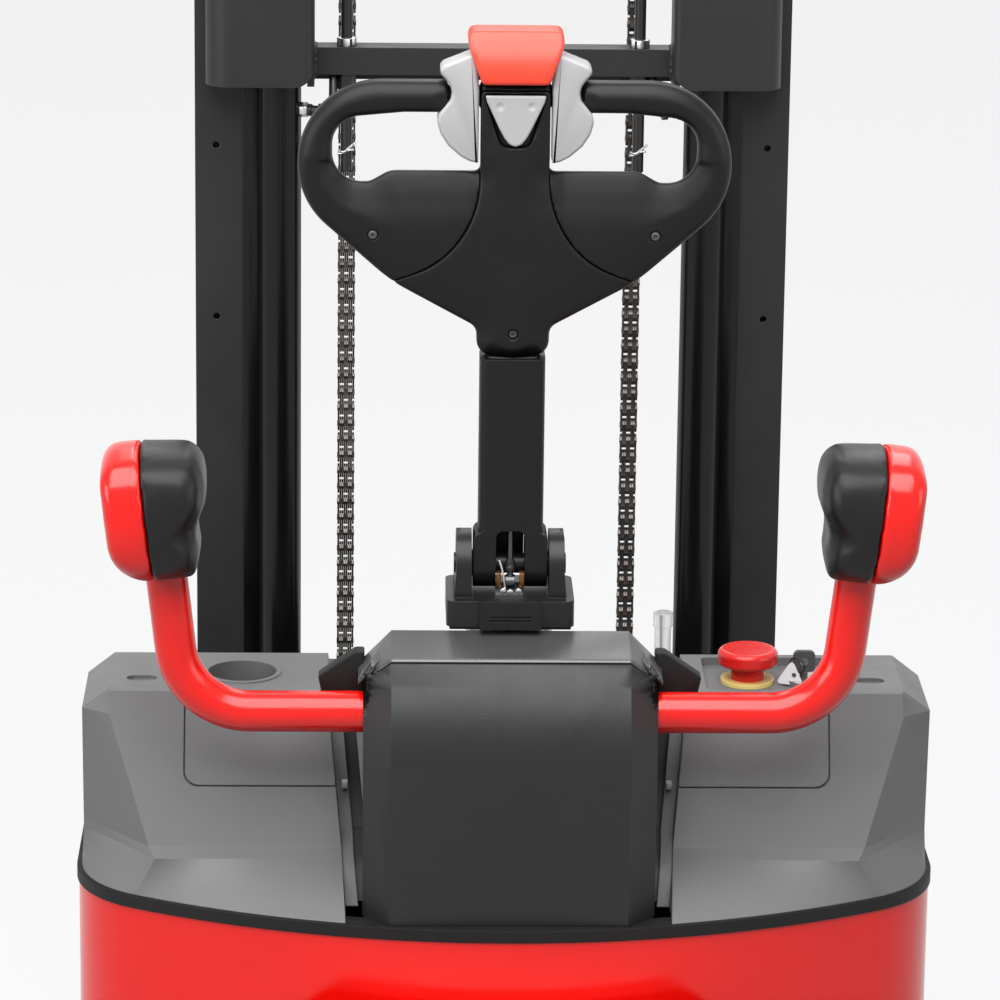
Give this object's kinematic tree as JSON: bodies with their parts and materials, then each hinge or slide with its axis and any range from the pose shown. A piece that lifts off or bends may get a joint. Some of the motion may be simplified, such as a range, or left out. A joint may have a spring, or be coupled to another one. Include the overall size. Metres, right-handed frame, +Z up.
{
  "type": "counterbalance stacker",
  "caption": "Ride-on counterbalance stacker: bowed red counterweight body, faceted covers, looped tiller, folding side arms, telescopic chain mast and forks.",
  "frame": {"origin": "on the floor, midway between the rear of the stowed platform and the fork tips, on the centre line", "axes": "+Y forward along the forks, +X to the operator's right, +Z up"},
  "size_m": [0.854, 2.4, 2.05],
  "materials": {
    "red_paint": "gloss",
    "dark_paint": "satin",
    "frame_paint": "satin",
    "grey_cover": "textured",
    "dark_cover": "textured",
    "soft_black": "soft touch",
    "light_grey": "satin",
    "red_plastic": "gloss",
    "yellow_plastic": "gloss",
    "milky_plastic": "translucent",
    "black_rubber": "matt",
    "foam": "soft foam",
    "tread": "polyurethane",
    "steel": "machined",
    "chrome": "polished",
    "chain_steel": "oiled",
    "iron": "cast",
    "zinc": "plated"
  },
  "bodies": {
    "chassis": {"chassis_frame": "frame_paint", "counterweight": "red_paint", "trim_strip": "black_rubber", "bay_panels": "red_paint", "battery": "dark_cover", "pump_unit": "iron", "controller": "steel", "oil_tank": "milky_plastic", "service_panels": "grey_cover", "side_cover_left": "grey_cover", "side_cover_right": "grey_cover", "centre_cover": "dark_cover", "centre_lid": "dark_cover", "arm_bearing": "frame_paint", "stop_collar": "yellow_plastic", "key_lock": "dark_cover", "outer_mast": "dark_paint", "lift_cylinders": "dark_paint", "chain_anchors": "chain_steel", "chains_rear": "chain_steel", "platform_lugs": "frame_paint"},
    "bay_lid": {"battery_lid": "dark_paint"},
    "stop": {"stop_button": "red_plastic"},
    "key": {"key": "zinc"},
    "steering": {"steer_ring": "steel", "gearbox": "iron", "traction_motor": "iron", "steering_column": "dark_paint", "tiller_base": "dark_paint", "tiller_pin": "zinc", "lid_tab": "black_rubber"},
    "drive_wheel": {"drive_wheel": "tread"},
    "tiller": {"tiller_arm": "soft_black", "gas_spring": "steel", "head_loop": "soft_black", "head_core": "soft_black"},
    "end_button": {"end_button": "red_plastic"},
    "shield_button": {"shield_button": "light_grey"},
    "inner_mast": {"inner_mast": "dark_paint", "lift_rods": "chrome", "chains_front": "chain_steel"},
    "carriage": {"carriage": "dark_paint", "fork_left": "dark_paint", "fork_right": "dark_paint"},
    "platform": {"platform": "frame_paint", "platform_mat": "black_rubber"},
    "thumb_left": {"thumb_switch_left": "light_grey"},
    "arm_left": {"arm_left": "red_paint", "pad_left": "foam"},
    "sheave_left": {"sheave_left": "steel"},
    "load_wheel_left": {"load_wheel_left": "tread"},
    "castor_left": {"castor_yoke_left": "zinc"},
    "castor_wheel_left": {"castor_wheel_left": "tread"},
    "thumb_right": {"thumb_switch_right": "light_grey"},
    "arm_right": {"arm_right": "red_paint", "pad_right": "foam"},
    "sheave_right": {"sheave_right": "steel"},
    "load_wheel_right": {"load_wheel_right": "tread"},
    "castor_right": {"castor_yoke_right": "zinc"},
    "castor_wheel_right": {"castor_wheel_right": "tread"}
  },
  "joints": [
    {"name": "mast_lift", "type": "slide", "parent": "chassis", "child": "inner_mast", "axis": [0, 0, 1], "range_m": [0, 1.4], "deforming": ["chains_rear", "chains_front"]},
    {"name": "carriage_lift", "type": "slide", "parent": "inner_mast", "child": "carriage", "axis": [0, 0, 1], "range_m": [0, 1.4]},
    {"name": "bay_lid_hinge", "type": "hinge", "parent": "chassis", "child": "bay_lid", "pos_m": [0, -0.273, 0.562], "axis": [1, 0, 0], "range_deg": [-75, 0]},
    {"name": "tiller_steer", "type": "hinge", "parent": "chassis", "child": "steering", "pos_m": [0, -1.007, 0.3], "axis": [0, 0, 1], "range_deg": [-90, 90]},
    {"name": "drive_roll", "type": "hinge", "parent": "steering", "child": "drive_wheel", "pos_m": [0, -1.007, 0.115], "axis": [1, 0, 0], "continuous": true},
    {"name": "tiller_tilt", "type": "hinge", "parent": "steering", "child": "tiller", "pos_m": [0, -1.007, 0.94], "axis": [1, 0, 0], "range_deg": [0, 75], "stiffness_Nm_per_rad": 24, "springref_deg": -20.05},
    {"name": "end_button_press", "type": "slide", "parent": "tiller", "child": "end_button", "axis": [0, 0, -1], "range_m": [0, 0.006], "stiffness_N_per_m": 900, "springref_m": -0.004},
    {"name": "shield_button_press", "type": "slide", "parent": "tiller", "child": "shield_button", "axis": [0, 1, 0], "range_m": [0, 0.003], "stiffness_N_per_m": 700, "springref_m": -0.002},
    {"name": "stop_press", "type": "slide", "parent": "chassis", "child": "stop", "axis": [0, 0, -1], "range_m": [0, 0.008]},
    {"name": "key_turn", "type": "hinge", "parent": "chassis", "child": "key", "pos_m": [0.298, -0.921, 0.8], "axis": [0, 0, 1], "range_deg": [0, 90]},
    {"name": "platform_fold", "type": "hinge", "parent": "chassis", "child": "platform", "pos_m": [0, -1.179, 0.165], "axis": [1, 0, 0], "range_deg": [0, 90], "stiffness_Nm_per_rad": 14, "springref_deg": -20.05},
    {"name": "thumb_left", "type": "hinge", "parent": "tiller", "child": "thumb_left", "pos_m": [0, -1.007, 1.40175], "axis": [1, 0, 0], "range_deg": [-25, 25], "stiffness_Nm_per_rad": 0.8},
    {"name": "arm_fold_left", "type": "hinge", "parent": "chassis", "child": "arm_left", "pos_m": [0, -1.087, 0.813], "axis": [1, 0, 0], "range_deg": [0, 90]},
    {"name": "sheave_left", "type": "hinge", "parent": "inner_mast", "child": "sheave_left", "pos_m": [-0.166, -0.0485, 1.94], "axis": [1, 0, 0], "range_deg": [0, 1700]},
    {"name": "load_roll_left", "type": "hinge", "parent": "chassis", "child": "load_wheel_left", "pos_m": [-0.382, -0.139, 0.115], "axis": [1, 0, 0], "continuous": true},
    {"name": "castor_swivel_left", "type": "hinge", "parent": "chassis", "child": "castor_left", "pos_m": [-0.3, -0.967, 0.232], "axis": [0, 0, 1], "continuous": true},
    {"name": "castor_roll_left", "type": "hinge", "parent": "castor_left", "child": "castor_wheel_left", "pos_m": [-0.3, -0.997, 0.0625], "axis": [1, 0, 0], "continuous": true},
    {"name": "thumb_right", "type": "hinge", "parent": "tiller", "child": "thumb_right", "pos_m": [0, -1.007, 1.40175], "axis": [1, 0, 0], "range_deg": [-25, 25], "stiffness_Nm_per_rad": 0.8},
    {"name": "arm_fold_right", "type": "hinge", "parent": "chassis", "child": "arm_right", "pos_m": [0, -1.087, 0.813], "axis": [1, 0, 0], "range_deg": [0, 90]},
    {"name": "sheave_right", "type": "hinge", "parent": "inner_mast", "child": "sheave_right", "pos_m": [0.166, -0.0485, 1.94], "axis": [1, 0, 0], "range_deg": [0, 1700]},
    {"name": "load_roll_right", "type": "hinge", "parent": "chassis", "child": "load_wheel_right", "pos_m": [0.382, -0.139, 0.115], "axis": [1, 0, 0], "continuous": true},
    {"name": "castor_swivel_right", "type": "hinge", "parent": "chassis", "child": "castor_right", "pos_m": [0.3, -0.967, 0.232], "axis": [0, 0, 1], "continuous": true},
    {"name": "castor_roll_right", "type": "hinge", "parent": "castor_right", "child": "castor_wheel_right", "pos_m": [0.3, -0.997, 0.0625], "axis": [1, 0, 0], "continuous": true}
  ],
  "couplings": [
    {"joint": "carriage_lift", "follows": "mast_lift", "ratio": 1},
    {"joint": "sheave_left", "follows": "mast_lift", "rad_per_m": 20.619},
    {"joint": "sheave_right", "follows": "mast_lift", "rad_per_m": 20.619}
  ]
}
